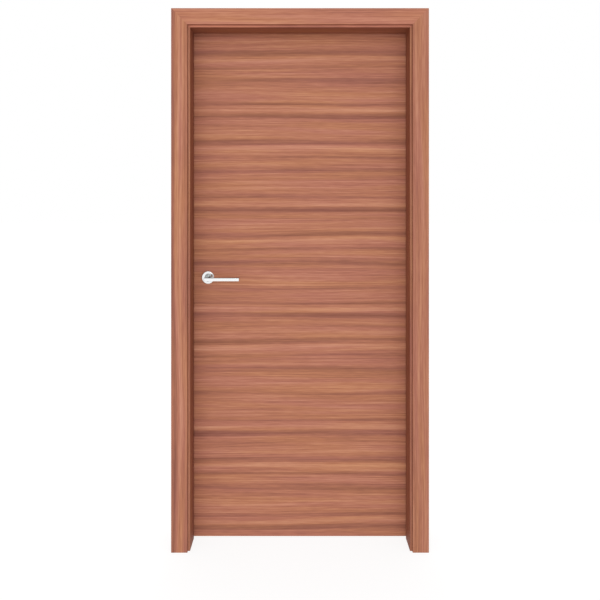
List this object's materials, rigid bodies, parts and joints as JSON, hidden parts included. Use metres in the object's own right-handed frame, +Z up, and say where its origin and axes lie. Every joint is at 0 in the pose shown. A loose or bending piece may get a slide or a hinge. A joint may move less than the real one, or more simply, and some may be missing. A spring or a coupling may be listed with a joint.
{
  "type": "flush interior door",
  "caption": "Flush interior door leaf with horizontal wood veneer, hung on butt hinges in a lining with stops and mitred flat casings, with lever handles on round roses.",
  "frame": {"origin": "on the back face of the hinge jamb, at floor level, halfway through the depth of the lining", "axes": "+Z up, +X out of the hinge jamb's back into the wall, -Y towards a viewer on the push side"},
  "size_m": [1.025, 0.184, 2.1225],
  "materials": {
    "leaf_veneer": "satin lacquer over reddish brown veneer, grain level",
    "casing_wood": "satin lacquer, grain along each length",
    "frame_wood": "satin lacquer, grain along each length",
    "lipping_wood": "satin lacquer, grain upright",
    "core_wood": "sawn softwood",
    "core_board": "bare chipboard",
    "hinge_steel": "satin",
    "latch_steel": "satin",
    "handle_metal": "satin chrome plate"
  },
  "bodies": {
    "frame": {"hinge_jamb": "frame_wood", "lock_jamb": "frame_wood", "head_jamb": "frame_wood", "hinge_stop": "frame_wood", "lock_stop": "frame_wood", "head_stop": "frame_wood", "front_casing_left": "casing_wood", "front_casing_right": "casing_wood", "front_casing_head": "casing_wood", "back_casing_left": "casing_wood", "back_casing_right": "casing_wood", "back_casing_head": "casing_wood", "hinge_jamb_plate_top": "hinge_steel", "hinge_jamb_plate_middle": "hinge_steel", "hinge_jamb_plate_bottom": "hinge_steel", "hinge_pin_top": "hinge_steel", "hinge_pin_middle": "hinge_steel", "hinge_pin_bottom": "hinge_steel", "strike_plate": "latch_steel"},
    "leaf": {"front_skin": "leaf_veneer", "back_skin": "leaf_veneer", "hinge_lipping": "lipping_wood", "lock_lipping": "lipping_wood", "hinge_stile": "core_wood", "lock_stile": "core_wood", "top_rail": "core_wood", "bottom_rail": "core_wood", "leaf_core": "core_board", "hinge_leaf_plate_top": "hinge_steel", "hinge_leaf_plate_middle": "hinge_steel", "hinge_leaf_plate_bottom": "hinge_steel", "latch_forend": "latch_steel", "latch_bolt": "latch_steel", "latch_case": "latch_steel", "front_rose": "handle_metal", "back_rose": "handle_metal"},
    "handle": {"front_lever": "handle_metal", "back_lever": "handle_metal", "spindle": "latch_steel"}
  },
  "joints": [
    {"name": "leaf_swing", "type": "hinge", "parent": "frame", "child": "leaf", "pos_m": [-0.0245, 0.0645, 0], "axis": [0, 0, -1], "range_deg": [0, 170]},
    {"name": "lever_turn", "type": "hinge", "parent": "leaf", "child": "handle", "pos_m": [-0.833, 0.0375, 1.053], "axis": [0, 1, 0], "range_deg": [0, 40], "stiffness_Nm_per_rad": 1.5, "springref_deg": -28.65}
  ]
}
